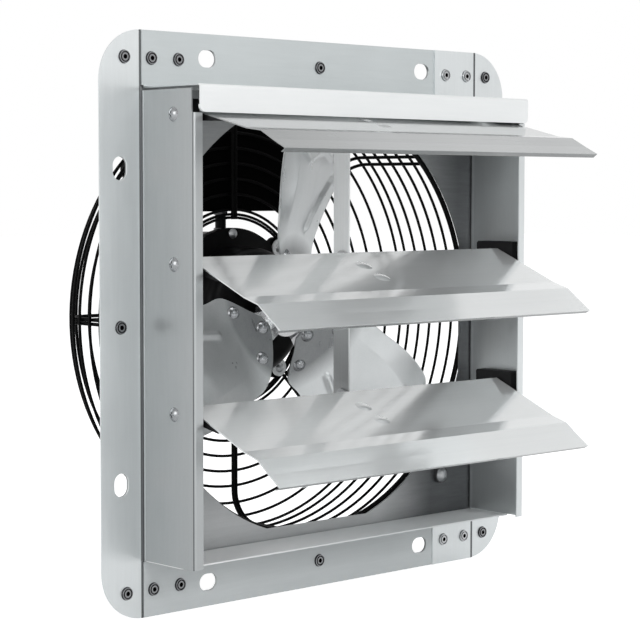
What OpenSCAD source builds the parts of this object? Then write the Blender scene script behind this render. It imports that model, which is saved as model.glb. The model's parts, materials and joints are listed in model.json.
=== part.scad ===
// Shutter exhaust fan: a wall frame with gravity slats in front and a
// guarded axial fan behind. Millimetres. The air leaves towards -Y, +Z is up,
// and the origin is the middle of the mounting flange, on its front face.

/* [Mounting flange] */
// Width of the flange strip round the box
flange_strip = 35; // [33:0.5:45]
// Radius of the flange corners
flange_corner_r = 35; // [22:1:37]
// Thickness of the frame sheet
sheet_t = 1; // [0.8:0.1:1.4]
// Inner radius of the sheet bends
bend_r = 1; // [0.6:0.1:1.6]
// Width of the fixing slots
slot_w = 12; // [8:0.5:13]
// Length of the fixing slots from end to end
slot_l = 16; // [14:0.5:22]
// Distance of the slots from the planes of the side walls
slot_inset = 58.2; // [57:0.2:68]
// Distance of the slot rows from the flange edge
slot_edge = 17; // [16:0.5:18]

/* [Shutter box] */
// Width over the side walls
box_w = 330; // [324:1:332]
// Height lost above the box ceiling, against half the width
ceiling_in = 4; // [2:0.5:5]
// Height lost below the box floor, against half the width
floor_in = 5; // [3:0.5:5.5]
// Reach of the side walls in front of the flange
wall_reach = 55.4; // [52:0.2:57]
// Width of the lips along the side walls
lip_w = 7.7; // [4:0.1:8]
// Reach of the top visor in front of the flange
visor_reach = 59.5; // [59.5:0.5:64]
// Height of the visor's front face below the ceiling
visor_drop = 17.5; // [10:0.5:17.5]
// Distance of the visor's ends from the planes of the side walls
visor_in = 2.5; // [0.5:0.5:15]
// Reach of the floor in front of the flange
floor_reach = 40.5; // [30:0.5:42]

/* [Fan panel] */
// Distance of the fan panel's edge from the flange edge
panel_in = 8; // [5:0.5:10]
// Thickness of the fan panel
panel_t = 1.2; // [0.8:0.1:1.6]
// Distance of the air opening's edge from the planes of the side walls
opening_in = 5; // [4:0.5:7]
// Distance of the flats that cut the opening's sides from the same planes
flat_in = 13; // [10:0.5:14]

/* [Slats] */
// Depths of the three slat pivots below the box ceiling
pivot_drops = [18.5, 117.9, 218.2];
// Distance of the pivots in front of the flange
pivot_reach = 34.5; // [33:0.25:36]
// Distance of a slat's ends from the planes of the side walls
slat_in = 10.5; // [10:0.25:12]
// Thickness of the slat sheet
slat_t = 0.8; // [0.6:0.1:1]
// Height of the slat's top face over its pivot axis
slat_lift = 5; // [4.6:0.1:5.4]
// Opening angles below level in the open rest position, from the top down
rest_angle = [13.5, 23, 23.5];
// Radius of the slat pivot pins
pivot_r = 2.95; // [2:0.05:3.2]

/* [Fan] */
// Gap between the blade tips and the edge of the air opening
tip_gap = 13; // [12:1:30]
// Thickness of the blades
blade_t = 1.2; // [0.8:0.1:1.6]
// Pitch of the blades
blade_pitch = 28; // [20:1:29]
// Distance of the blade plane behind the flange face
hub_y = 35.3; // [34:0.5:38]
// Angle of the first blade
first_blade = 80; // [0:5:115]
// Number of blades
blade_count = 3; // [3:1:3]
// Radius of the motor shaft
shaft_r = 4; // [3:0.5:5]

/* [Motor] */
// Radius of the motor's front shell
motor_r = 48.5; // [46:0.5:50]
// Distance of the motor's front behind the flange face
motor_y = 66; // [64:0.5:68]
// Radius of the flange that joins the motor shells
motor_rim_r = 63.4; // [62:0.2:63.4]
// Radius of the circle of the motor mounting bolts
mount_ring_r = 66.5; // [65.5:0.5:67]

/* [Guard] */
// Distance of the guard's side wires outside the air opening
guard_out = 3.4; // [2.6:0.2:6]
// Distance of the guard's rear wires behind the flange face
guard_y = 95.9; // [95:0.1:96.5]
// Radius of the bend between the guard's side and rear
guard_bend_r = 24; // [16:1:30]
// Radius of the ring wires
ring_r = 1.1; // [0.9:0.1:1.2]
// Radius of the spoke wires
spoke_r = 1.3; // [1:0.1:1.4]
// Radius of the thick front ring's wire
front_ring_r = 2.75; // [2:0.25:2.75]
// Spacing of the rings
ring_pitch = 11.8; // [11:0.1:12]
// Distance of the guard bolts from the planes of the side walls
guard_bolt_in = 35; // [34:0.5:36]

/* [Junction box] */
// Width of the box
jbox_w = 140; // [100:2:160]
// Height of the box
jbox_h = 74; // [60:1:84]
// Depth of the box without its lid
jbox_d = 36; // [32:1:40]
// Wall of the box
jbox_t = 2; // [1.5:0.1:2.5]

/* [Hidden] */
$fn = 48;

// Overrun of the cuts, and the gaps left where pieces seat, clear or run
cut = 1;
seat = 0.3;
shy = 0.05;
play = 0.5;

// Sizes that follow the width of the box
wall_x = box_w / 2;
wall_in = wall_x - sheet_t;
flange_w = box_w + 2 * flange_strip;
half = flange_w / 2;
ceiling_z = wall_x - ceiling_in;
top_out = ceiling_z + sheet_t;
floor_z = floor_in - wall_x;
floor_out = floor_z - sheet_t;
slot_off = wall_x - slot_inset;
slot_row = half - slot_edge;
visor_w = box_w - 2 * visor_in;
panel_w = flange_w - 2 * panel_in;
panel_back = sheet_t + panel_t;
opening_r = wall_x - opening_in;
opening_flat = wall_x - flat_in;
pivot_z = [for (drop = pivot_drops) ceiling_z - drop];
slat_l = box_w - 2 * slat_in;
tip_r = opening_r - tip_gap;
guard_r = opening_r + guard_out;
guard_bolt = wall_x - guard_bolt_in;

// The seams at the corners: the top and bottom rails end beside the left
// rail and lie over its tabs, and the right rail's tabs lie over them
seam_x = wall_x - 0.6 * sheet_t;
seam_gap = 0.6;
tab_end = wall_x - 44.3;
tab_corner_r = 3;
crease_x = wall_x + 0.4 * sheet_t;

// Rivets of the frame: places along the rows, and their form
rivet_row = half - 18.7;
side_rivet_row = half - 17;
corner_rivets = [for (off = [-32.5, -9, 14]) wall_x + off];
rivet_head_r = 4.7;
rivet_head_h = 1.4;
rivet_bevel = 0.5;
rivet_base_h = 0.5;
rivet_groove = [2.7, 3.7];
rivet_shank_r = 2.4;
rivet_core_r = 1.6;
rivet_core_l = 3.5;
rivet_tail_r = 3.4;
rivet_tail_h = 2.2;

// Visor: the rounded lower corners, the folded hem and the lower edge, and
// the gap over the side walls
visor_corner_r = 4;
hem_h = 5;
visor_low = ceiling_z - visor_drop;
wall_gap = 1.8;

// Bearing blocks of the slats
bearing_in = 8.5;
bearing_y = [-50, -14];
bearing_h = 20;
bearing_r = 2;
bearing_bore = 4.6;
screw_head_r = 5;
screw_head_h = 2.4;
screw_recess = [4.6, 1.1, 1];
screw_shank_r = 1.45;
screw_in = 3.3;

// Section of a slat: shares of its width along it, and of its lift across it
slat_width = 102;
slat_run_share = [0, 0.608, 0.745, 0.877, 1, 0.97];
slat_rise_share = [1, 1, 1.32, 0.64, 0.1, -0.6];
bracket_x = 10;
bracket_w = 14;
bracket_t = 1.2;
bracket_span = [14, 50];
bracket_rivet_s = [22, 42];
slat_rivet_r = 6.3;
slat_rivet_h = 1;
slat_rivet_shank = 2;
pivot_plate_w = 13;
pivot_plate_span = [3, 34];
pivot_ear_r = 4.1;
tie_pin = [-9.8, -2.5];
tie_pin_r = 2;
tie_eye_r = 4.2;
tie_head_r = 3.2;
tie_head_t = 1;
tie_gap = 0.4;

// Tie bar: a strip beside the tie pins, with a slotted hole at the top pin
tie_t = 1.2;
tie_front = 7;
tie_back = 8.8;
tie_over = 8;
tie_r = 3;
tie_run = 0.08;
tie_loose = 0.4;
tie_slot_z = 0.9;
tie_slot_y = 0.3;

// Fan: rivets of a blade as places along and across its arm
rivet_places = [[26.7, 0], [41.8, -19.9], [41.8, 19.9]];
blade_rivet_r = 5;
blade_rivet_h = 3;
blade_shank_r = 2.4;
blade_tail_r = 3.8;
blade_tail_h = 1.4;
arm_t = 2;
// Edges of a blade as shares of the tip radius, along and across the arm
rear_shares = [[0.15, -0.05], [0.2, -0.11], [0.27, -0.2], [0.32, -0.235], [0.42, -0.24],
    [0.56, -0.28], [0.67, -0.36], [0.76, -0.48], [0.84, -0.57]];
front_shares = [[0.135, 0.01], [0.17, 0.08], [0.26, 0.21], [0.37, 0.31], [0.52, 0.345],
    [0.66, 0.372], [0.79, 0.375], [0.88, 0.355], [0.935, 0.3]];
fold_share = 0.8;
blade_set = 5;
blade_wave = 2.2;
blade_fold = 6;
flat_root_r = 50;
blade_span_steps = 16;
blade_chord_steps = 12;
// Half widths of a spider arm, against the distance along it
arm_r = [9, 12.5, 20, 27, 34, 41, 47, 50];
arm_half = [11, 11.3, 11, 13, 18.5, 25.5, 26.5, 22];
arm_turn_r = [12.5, 20];
spider_disc_r = 17;
boss_r = 12;
boss_l = 20;
set_screw_r = 2;
shaft_front = 10;

// Motor: places along its axis, and the thickness of its shells
shell_t = 2.5;
front_flange_t = 2.2;
rear_flange_t = 4;
flange_gap = 0.2;
rear_body_r = 60;
rear_body_l = 42;
rear_round_r = 14;
front_round_r = 9;
lug_r = 8.5;
lug_t = 4.6;
shell_bolt_r = 59;
shell_bolt_head_r = 4;
shell_bolt_head_h = 3;
shell_bolt_shank_r = 2;
shell_bolt_l = 3.6;
mount_washer_r = 7;
mount_washer_t = 1.2;
mount_bolt_head_r = 4;
mount_bolt_head_h = 3;
mount_bolt_r = 2.4;
nut_share = 1.85;
nut_h = 3.5;
bearing_od_r = 11;
bearing_l = 7;
boss_wall = 3;
stator_l = 32;
stator_in_r = 27.6;
rotor_gap = 0.5;
winding_r = 6;
winding_ring_r = 35;

// Guard: angles of the spokes, and the loops round the guard bolts
spoke_pair = 1.5;
splay = 1.32;
loop_lap = 4;
elbow_r = 4;
spoke_in = 70;
bolt_shank_r = 2.5;
bolt_head_r = 5.5;
bolt_head_h = 3;
spacer_r = 6.5;
spacer_h = 3;
guard_washer_r = 8;
guard_washer_t = 1.4;
weld = 0.05;

// Junction box: its place and fittings
jbox_y = 102;
jbox_z = 76;
lid_t = 2.5;
lid_screw_in = 6;
lid_screw_r = 1.6;
lid_screw_head_r = 3.2;
lid_screw_head_h = 1.8;
lid_screw_l = 10;
nipple_y = 112;
nipple_r = 4.2;
nipple_bore = 3;
nipple_in = 5;
conduit_nut_share = 1.35;
conduit_nut_h = 2.8;
capacitor_r = 14;
capacitor_l = 50;
block_size = [40, 18, 20];
inside_x = jbox_w / 2 - 2 * lid_screw_in - play;

// A plate in the plane of the flange, from y backwards by t
module plate(y, t) {
    translate([0, y + t, 0]) rotate([90, 0, 0]) linear_extrude(t) children();
}

// A cylinder along Y, from y backwards by l
module rod(r, y, l) {
    translate([0, y, 0]) rotate([-90, 0, 0]) cylinder(r = r, h = l);
}

// A ring of wire round the Y axis
module wire_ring(big, y, r) {
    translate([0, y, 0]) rotate([-90, 0, 0]) rotate_extrude($fn = 96)
        translate([big, 0]) circle(r, $fn = 20);
}

// A rectangle with all corners round, in the middle
module round_rect(w, h, r) {
    square([w - 2 * r, h], center = true);
    square([w, h - 2 * r], center = true);
    for (x = [-1, 1], y = [-1, 1]) translate([x * (w / 2 - r), y * (h / 2 - r)]) circle(r);
}

// A slot with round ends, long in X
module slot(l, w) {
    square([l - w, w], center = true);
    for (x = [-1, 1]) translate([x * (l - w) / 2, 0]) circle(w / 2);
}

// A quarter of a sheet bend about the origin, from +X to +Y
module quarter_bend() {
    intersection() {
        difference() {
            circle(bend_r + sheet_t);
            circle(bend_r);
        }
        square(bend_r + sheet_t);
    }
}

// The fixing slots of all four sides
module slots() {
    for (a = [0, 90, 180, 270], s = [-1, 1])
        rotate(a) translate([s * slot_off, slot_row]) slot(slot_l, slot_w);
}

// Holes of all the frame rivets
module rivet_holes() {
    r = rivet_shank_r + shy;
    for (x = concat(-corner_rivets, [0], corner_rivets), z = [-1, 1])
        translate([x, z * rivet_row]) circle(r);
    for (x = [-1, 1]) translate([x * side_rivet_row, 0]) circle(r);
}

// Side rail, drawn for the left: flange strip, wall and lip, with its tabs
// a sheet behind the flange for tab_y = 1, or in front of it for tab_y = -1
module side_rail(tab_y, inner) {
    difference() {
        union() {
            plate(0, sheet_t) intersection() {
                round_rect(flange_w, flange_w, flange_corner_r);
                union() {
                    translate([-half, -half]) square([half - wall_x - bend_r, flange_w]);
                    for (z = [-1, 1]) translate([-half, z > 0 ? top_out : -half])
                        square([half - inner, half - (z > 0 ? top_out : -floor_out)]);
                }
            }
            for (z = [-1, 1]) plate(tab_y * sheet_t, sheet_t) tab(z, inner);
            for (z = [-1, 1]) plate(min(0, tab_y * sheet_t), 2 * sheet_t)
                translate([-inner - sheet_t, z > 0 ? top_out : -half])
                    square([sheet_t, half - (z > 0 ? top_out : -floor_out)]);
            translate([0, 0, floor_z]) {
                linear_extrude(ceiling_z - wall_gap - floor_z) wall_section();
                linear_extrude(visor_low - seat - floor_z) lip_section();
            }
        }
        plate(-cut - sheet_t, 2 * cut + 3 * sheet_t) {
            slots();
            rivet_holes();
        }
        for (z = pivot_z) translate([-wall_x - cut, -pivot_reach, z]) rotate([0, 90, 0])
            cylinder(r = screw_shank_r + shy, h = sheet_t + 2 * cut);
    }
}

// A tab at the corner, above for z = 1 and below for z = -1
module tab(z, inner) {
    h = half - (z > 0 ? top_out : -floor_out) - bend_r;
    translate([-inner - sheet_t, z > 0 ? half - h : -half]) difference() {
        square([inner + sheet_t - tab_end, h]);
        translate([inner + sheet_t - tab_end - tab_corner_r, z > 0 ? 0 : h]) difference() {
            translate([0, z > 0 ? 0 : -tab_corner_r]) square([tab_corner_r + cut, tab_corner_r]);
            translate([0, z * tab_corner_r]) circle(tab_corner_r);
        }
    }
}

// Section of the left side wall in the XY plane, from the flange to the lip's bend
module wall_section() {
    translate([-wall_x - bend_r, -bend_r]) quarter_bend();
    translate([-wall_x, -wall_reach + sheet_t + bend_r])
        square([sheet_t, wall_reach - sheet_t - 2 * bend_r]);
}

// Section of the lip, which ends below the visor
module lip_section() {
    translate([-wall_in + bend_r, -wall_reach + sheet_t + bend_r]) rotate(180) quarter_bend();
    translate([-wall_in + bend_r, -wall_reach]) square([lip_w - sheet_t - bend_r, sheet_t]);
}

module left_rail() color("silver") side_rail(1, seam_x + seam_gap);
module right_rail() color("silver") mirror([1, 0, 0]) side_rail(-1, crease_x);

// Flange strip of the top rail, or of the bottom rail for z = -1
module cross_flange(z, edge) {
    plate(0, sheet_t) difference() {
        translate([-seam_x, z > 0 ? edge : -half]) square([2 * seam_x, half - abs(edge)]);
        slots();
        rivet_holes();
    }
}

// Section of the top rail in the YZ plane: ceiling, visor and hem
module top_section() {
    translate([-bend_r, top_out + bend_r]) rotate(-90) quarter_bend();
    translate([-visor_reach + sheet_t + bend_r, ceiling_z])
        square([visor_reach - sheet_t - 2 * bend_r, sheet_t]);
    translate([-visor_reach + sheet_t + bend_r, ceiling_z - bend_r]) rotate(90) quarter_bend();
}

// Outline of the visor's front face, with its lower corners round
module visor_outline(h) {
    difference() {
        translate([-visor_w / 2, visor_low]) square([visor_w, h]);
        for (x = [-1, 1]) translate([x * (visor_w / 2 - visor_corner_r), visor_low]) difference() {
            translate([x > 0 ? 0 : -visor_corner_r - cut, -cut])
                square([visor_corner_r + cut, visor_corner_r + cut]);
            translate([0, visor_corner_r]) circle(visor_corner_r);
        }
    }
}

module top_rail() color("gainsboro") {
    cross_flange(1, top_out + bend_r);
    translate([-visor_w / 2, 0, 0]) rotate([90, 0, 90]) linear_extrude(visor_w) top_section();
    plate(-visor_reach, sheet_t) visor_outline(visor_drop - bend_r);
    plate(-visor_reach + sheet_t, sheet_t) visor_outline(hem_h);
}

module bottom_rail() color("gainsboro") {
    cross_flange(-1, -floor_out + bend_r);
    translate([-wall_in + seat, 0, 0]) rotate([90, 0, 90]) linear_extrude(2 * (wall_in - seat)) {
        translate([-bend_r, floor_out - bend_r]) quarter_bend();
        translate([-floor_reach, floor_out]) square([floor_reach - bend_r, sheet_t]);
    }
}

// Fan panel: a square with the air opening, joggled back at the left corners
// to pass behind the left rail's tabs
module fan_panel() color("lightgray") {
    pad_w = seam_x + seam_gap + sheet_t - tab_end + 2 * seat;
    pad_h = panel_w / 2 - ceiling_z;
    difference() {
        union() {
            plate(sheet_t, panel_t) difference() {
                round_rect(panel_w, panel_w, flange_corner_r - half + panel_w / 2);
                pads(pad_w, pad_h);
            }
            plate(2 * sheet_t, panel_t) pads(pad_w, pad_h);
            plate(sheet_t, sheet_t + panel_t) difference() {
                pads(pad_w + 2 * sheet_t, pad_h + sheet_t);
                pads(pad_w, pad_h);
            }
        }
        plate(sheet_t - cut, 2 * cut + sheet_t + panel_t) {
            slots();
            rivet_holes();
            intersection() {
                circle(opening_r, $fn = 96);
                square(2 * opening_flat, center = true);
            }
            for (x = [-1, 1], z = [-1, 1]) translate([x, z] * guard_bolt)
                circle(bolt_shank_r + shy);
        }
    }
}

// The two joggled pads of the panel, cut off at its edge
module pads(w, h) {
    mid = -(seam_x + seam_gap + sheet_t + tab_end) / 2;
    for (z = [-1, 1]) translate([mid - w / 2, z > 0 ? panel_w / 2 - h : -panel_w / 2])
        square([w, h]);
}

// A tubular rivet along Y: its head seats at y, its tail on the far face. A
// groove in the head leaves a rim and a rolled collar round the bore
module frame_rivet(y, far) {
    difference() {
        union() {
            translate([0, y - rivet_head_h, 0]) rotate([-90, 0, 0])
                cylinder(r1 = rivet_head_r - rivet_bevel, r2 = rivet_head_r, h = rivet_head_h);
            rod(rivet_shank_r, y, far - y);
            rod(rivet_tail_r, far, rivet_tail_h);
        }
        rod(rivet_core_r, y - rivet_head_h - cut, rivet_core_l + cut);
        difference() {
            rod(rivet_groove[1], y - rivet_head_h - cut, rivet_head_h + cut - rivet_base_h);
            rod(rivet_groove[0], y - rivet_head_h - 2 * cut, rivet_head_h + 3 * cut);
        }
    }
}

module frame_rivets() color("whitesmoke") {
    for (i = [0:len(corner_rivets) - 1], x = [-1, 1], z = [-1, 1]) {
        at = corner_rivets[i];
        over_tab = at < seam_x;
        translate([x * at, 0, z * rivet_row]) frame_rivet(
            x > 0 && over_tab ? -sheet_t : 0,
            x < 0 && over_tab ? panel_back + sheet_t : panel_back);
    }
    for (z = [-1, 1]) translate([0, 0, z * rivet_row]) frame_rivet(0, panel_back);
    for (x = [-1, 1]) translate([x * side_rivet_row, 0, 0]) frame_rivet(0, panel_back);
}

// Six moulded blocks on the side walls, bored for the slat pivots
module slat_bearings() color([0.1, 0.1, 0.1]) {
    for (x = [0, 1], z = pivot_z) mirror([x, 0, 0]) translate([-wall_in, 0, z]) difference() {
        translate([0, (bearing_y[0] + bearing_y[1]) / 2, 0]) rotate([0, 90, 0])
            linear_extrude(bearing_in)
                round_rect(bearing_h, bearing_y[1] - bearing_y[0], bearing_r);
        translate([0, -pivot_reach, 0]) rotate([0, 90, 0]) {
            translate([0, 0, bearing_in - bearing_bore])
                cylinder(r = pivot_r + shy, h = bearing_bore + cut);
            translate([0, 0, -cut]) cylinder(r = screw_shank_r + shy, h = screw_in + cut);
        }
    }
}

// Dome head screws with crossed recesses, through the walls into the blocks
module pivot_screws() color("whitesmoke") {
    for (x = [0, 1], z = pivot_z) mirror([x, 0, 0])
        translate([-wall_x, -pivot_reach, z]) rotate([0, -90, 0]) {
            difference() {
                dome(screw_head_r, screw_head_h);
                for (a = [0, 90]) translate([0, 0, screw_head_h]) rotate(a)
                    cube([screw_recess[0], screw_recess[1], 2 * screw_recess[2]], center = true);
            }
            translate([0, 0, -sheet_t - screw_in]) cylinder(r = screw_shank_r, h = sheet_t + screw_in);
        }
}

// A dome head: the cap of a sphere with base radius r and height h
module dome(r, h) {
    big = (r * r + h * h) / (2 * h);
    rotate_extrude() intersection() {
        translate([0, h - big]) circle(big, $fn = 240);
        square([r, h]);
    }
}

// Places a slat's own frame: X along the slat, Y back across it, Z off its face
module on_slat(i) {
    translate([0, -pivot_reach, pivot_z[i]]) rotate([rest_angle[i], 0, 0]) children();
}

// Points of the slat's face, then of its underside, as [back, up] pairs
function slat_face(down) = [for (k = [0:len(slat_run_share) - 1])
    [-slat_run_share[k] * slat_width, slat_rise_share[k] * slat_lift - down]];

function reversed(list) = [for (k = [len(list) - 1:-1:0]) list[k]];

// Underside of the slat, pulled in at the folded lip so the sheet keeps its thickness
function slat_under() = [for (k = [0:len(slat_run_share) - 1])
    k < len(slat_run_share) - 2 ? slat_face(slat_t)[k]
    : k < len(slat_run_share) - 1 ? slat_face(slat_t)[k] + [1.2 * slat_t, 0.25 * slat_t]
    : slat_face(0)[k] + [slat_t, 0.3 * slat_t]];

module slat(i) color("lightgray") on_slat(i) difference() {
    translate([-slat_l / 2, 0, 0]) rotate([90, 0, 90]) linear_extrude(slat_l)
        polygon(concat(slat_face(0), reversed(slat_under())));
    for (s = bracket_rivet_s) translate([-bracket_x, -s, slat_lift - slat_t - cut])
        cylinder(r = slat_rivet_shank + shy, h = slat_t + 2 * cut);
}

// Angle pieces under the slat's ends, each with a pivot pin
module slat_pivots(i) color("darkgray") on_slat(i) {
    under = slat_lift - slat_t;
    for (x = [0, 1]) mirror([x, 0, 0]) translate([-slat_l / 2, 0, 0]) {
        translate([0, -pivot_plate_span[1], under - bracket_t])
            cube([pivot_plate_w, pivot_plate_span[1] - pivot_plate_span[0], bracket_t]);
        rotate([90, 0, 90]) linear_extrude(bracket_t) {
            circle(pivot_ear_r);
            translate([-pivot_plate_span[1], 0]) polygon([[0, under - bracket_t], [0, under],
                [pivot_plate_span[1], under], [pivot_plate_span[1], -pivot_ear_r]]);
        }
        translate([-bearing_bore - play + shy, 0, 0]) rotate([0, 90, 0])
            cylinder(r = pivot_r, h = bearing_bore + play);
    }
}

// Middle bracket under the slat: a riveted plate, an ear and the tie pin
module slat_bracket(i) color("darkgray") on_slat(i) {
    under = slat_lift - slat_t;
    ear_x = -tie_t / 2 - tie_gap - bracket_t;
    difference() {
        translate([-bracket_x - bracket_w / 2, -bracket_span[1], under - bracket_t])
            cube([bracket_x + bracket_w / 2 + ear_x + bracket_t,
                bracket_span[1] - bracket_span[0], bracket_t]);
        for (s = bracket_rivet_s) translate([-bracket_x, -s, under - bracket_t - cut])
            cylinder(r = slat_rivet_shank + shy, h = bracket_t + 2 * cut);
    }
    translate([ear_x, 0, 0]) rotate([90, 0, 90]) linear_extrude(bracket_t) {
        translate([-tie_pin[0], tie_pin[1]]) circle(tie_eye_r);
        polygon([[-bracket_span[1], under], [-bracket_span[1], under - bracket_t],
            [-tie_pin[0], tie_pin[1] - tie_eye_r], [-tie_pin[0], tie_pin[1] + tie_eye_r],
            [-bracket_span[0], under]]);
    }
    translate([ear_x, -tie_pin[0], tie_pin[1]]) rotate([0, 90, 0]) {
        cylinder(r = tie_pin_r, h = bracket_t + 2 * tie_gap + tie_t + tie_head_t);
        translate([0, 0, bracket_t + 2 * tie_gap + tie_t]) cylinder(r = tie_head_r, h = tie_head_t);
    }
}

// Two low dome rivets that hold the bracket, set through the slat
module slat_rivets(i) color("whitesmoke") on_slat(i) {
    for (s = bracket_rivet_s) translate([-bracket_x, -s, slat_lift]) {
        dome(slat_rivet_r, slat_rivet_h);
        translate([0, 0, -slat_t - bracket_t])
            cylinder(r = slat_rivet_shank, h = slat_t + bracket_t);
    }
}

module slat_top() slat(0);
module slat_middle() slat(1);
module slat_bottom() slat(2);
module slat_top_pivots() slat_pivots(0);
module slat_middle_pivots() slat_pivots(1);
module slat_bottom_pivots() slat_pivots(2);
module slat_top_bracket() slat_bracket(0);
module slat_middle_bracket() slat_bracket(1);
module slat_bottom_bracket() slat_bracket(2);
module slat_top_rivets() slat_rivets(0);
module slat_middle_rivets() slat_rivets(1);
module slat_bottom_rivets() slat_rivets(2);

// Place of a slat's tie pin at rest, as [y, z]
function pin_at(i) = [
    -pivot_reach - tie_pin[0] * cos(rest_angle[i]) - tie_pin[1] * sin(rest_angle[i]),
    pivot_z[i] - tie_pin[0] * sin(rest_angle[i]) + tie_pin[1] * cos(rest_angle[i])];

module tie_bar() color("gainsboro") {
    mid = pin_at(1);
    low = pin_at(2)[1] - tie_over;
    high = pin_at(0)[1] + tie_over;
    translate([-tie_t / 2, 0, 0]) rotate([90, 0, 90]) linear_extrude(tie_t) difference() {
        translate([mid[0] + (tie_back - tie_front) / 2, (high + low) / 2])
            round_rect(tie_front + tie_back, high - low, tie_r);
        translate(mid) circle(tie_pin_r + tie_run);
        translate(pin_at(2)) circle(tie_pin_r + tie_loose);
        translate(pin_at(0) + [-tie_slot_y, tie_slot_z]) rotate(90)
            slot(2 * (tie_pin_r + tie_loose + tie_slot_y + tie_slot_z),
                2 * (tie_pin_r + tie_loose + tie_slot_y));
    }
}

// Bend of the spokes: the middle of its arc as [radius, y]
bend_mid = [guard_r - guard_bend_r, guard_y - guard_bend_r];
ring_off = spoke_r + ring_r + weld;
front_ring_y = panel_back + 2 * spoke_r + front_ring_r + 4 * weld + play / 2;
loop_y = panel_back + spoke_r + 2 * weld;

module guard_front_ring() color([0.1, 0.1, 0.1])
    wire_ring(guard_r + spoke_r + front_ring_r + weld, front_ring_y, front_ring_r);

// Rings along the side, then those that lie outside the bend
module guard_side_rings() color([0.1, 0.1, 0.1]) {
    first = front_ring_y + front_ring_r + ring_pitch;
    for (y = [first:ring_pitch:bend_mid[1]]) wire_ring(guard_r + ring_off, y, ring_r);
    for (a = [14.5, 42, 68]) wire_ring(bend_mid[0] + (guard_bend_r + ring_off) * cos(a),
        bend_mid[1] + (guard_bend_r + ring_off) * sin(a), ring_r);
}

// Rings of the flat rear face, and the double ring that carries the motor
module guard_rear_rings() color([0.1, 0.1, 0.1]) {
    for (r = [bend_mid[0] - ring_pitch / 4:-ring_pitch:mount_ring_r + mount_washer_r + ring_pitch / 4])
        wire_ring(r, guard_y + ring_off, ring_r);
    for (r = [mount_ring_r + mount_washer_r - ring_r * 2, mount_ring_r + mount_washer_r + ring_r / 4])
        wire_ring(r, guard_y + ring_off, ring_r);
}

// One spoke wire in the plane of the X and Y axes, ending at the front at y
module spoke_wire(inner, y) {
    translate([inner, guard_y, 0]) rotate([0, 90, 0])
        cylinder(r = spoke_r, h = bend_mid[0] - inner, $fn = 20);
    translate([bend_mid[0], bend_mid[1], 0]) rotate_extrude(angle = 90, $fn = 96)
        translate([guard_bend_r, 0]) circle(spoke_r, $fn = 20);
    translate([guard_r, y, 0]) rotate([-90, 0, 0])
        cylinder(r = spoke_r, h = bend_mid[1] - y, $fn = 20);
}

// Straight pairs up, down and to the sides, and splayed pairs to the corners,
// which turn outwards behind the panel and loop round the guard bolts
module guard_spokes() color([0.1, 0.1, 0.1]) {
    for (a = [0, 90, 180, 270], s = [-1, 1]) rotate([0, a, 0]) translate([0, 0, s * spoke_pair])
        spoke_wire(spoke_in, front_ring_y - front_ring_r);
    bolt_ring = guard_bolt * sqrt(2);
    for (a = [45, 135, 225, 315]) rotate([0, a, 0]) {
        for (s = [-1, 1]) rotate([0, s * splay, 0]) {
            spoke_wire(mount_ring_r + mount_washer_r + seat, loop_y + elbow_r);
            translate([guard_r + elbow_r, loop_y + elbow_r, 0]) rotate([0, 0, 180])
                rotate_extrude(angle = 90, $fn = 96)
                    translate([elbow_r, 0]) circle(spoke_r, $fn = 20);
            translate([guard_r + elbow_r, loop_y, 0]) rotate([0, 90, 0])
                cylinder(r = spoke_r, h = bolt_ring * cos(splay) - guard_r - elbow_r, $fn = 20);
        }
        translate([bolt_ring, loop_y, 0]) rotate([90, 0, 0]) rotate(-90 - splay - loop_lap)
            rotate_extrude(angle = 180 + 2 * splay + 2 * loop_lap, $fn = 96)
                translate([bolt_ring * sin(splay), 0]) circle(spoke_r + shy, $fn = 20);
    }
}

// Copies at the four guard bolts
module at_guard_bolts() {
    for (x = [-1, 1], z = [-1, 1]) translate([x * guard_bolt, 0, z * guard_bolt]) children();
}

loop_back = loop_y + spoke_r + weld;

module guard_spacers() color([0.15, 0.15, 0.15]) at_guard_bolts() difference() {
    rod(spacer_r, sheet_t - spacer_h, spacer_h);
    rod(bolt_shank_r + shy, sheet_t - spacer_h - cut, spacer_h + 2 * cut);
}

module guard_bolts() color("whitesmoke") at_guard_bolts() {
    head = sheet_t - spacer_h;
    translate([0, head, 0]) rotate([90, 0, 0]) dome(bolt_head_r, bolt_head_h);
    rod(bolt_shank_r, head, loop_back + guard_washer_t + nut_h + sheet_t - head);
}

module guard_washers() color("gray") at_guard_bolts() difference() {
    rod(guard_washer_r, loop_back, guard_washer_t);
    rod(bolt_shank_r + shy, loop_back - cut, guard_washer_t + 2 * cut);
}

// A hex nut along Y on a bolt of radius r
module hex_nut(r, y, h) {
    difference() {
        translate([0, y, 0]) rotate([-90, 0, 0]) cylinder(r = r * nut_share, h = h, $fn = 6);
        rod(r + shy, y - cut, h + 2 * cut);
    }
}

module guard_nuts() color("gray") at_guard_bolts()
    hex_nut(bolt_shank_r, loop_back + guard_washer_t, nut_h);

// Places along the motor's axis
ring_front = guard_y + ring_off - ring_r;
washer_y = ring_front - shy - mount_washer_t;
front_flange_y = washer_y + mount_washer_t + flange_gap;
rear_flange_y = guard_y + ring_off + ring_r + flange_gap;
rear_end = rear_flange_y + rear_flange_t + rear_body_l;
stator_y = motor_y + shell_t + bearing_l + 2 * winding_r;

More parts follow.
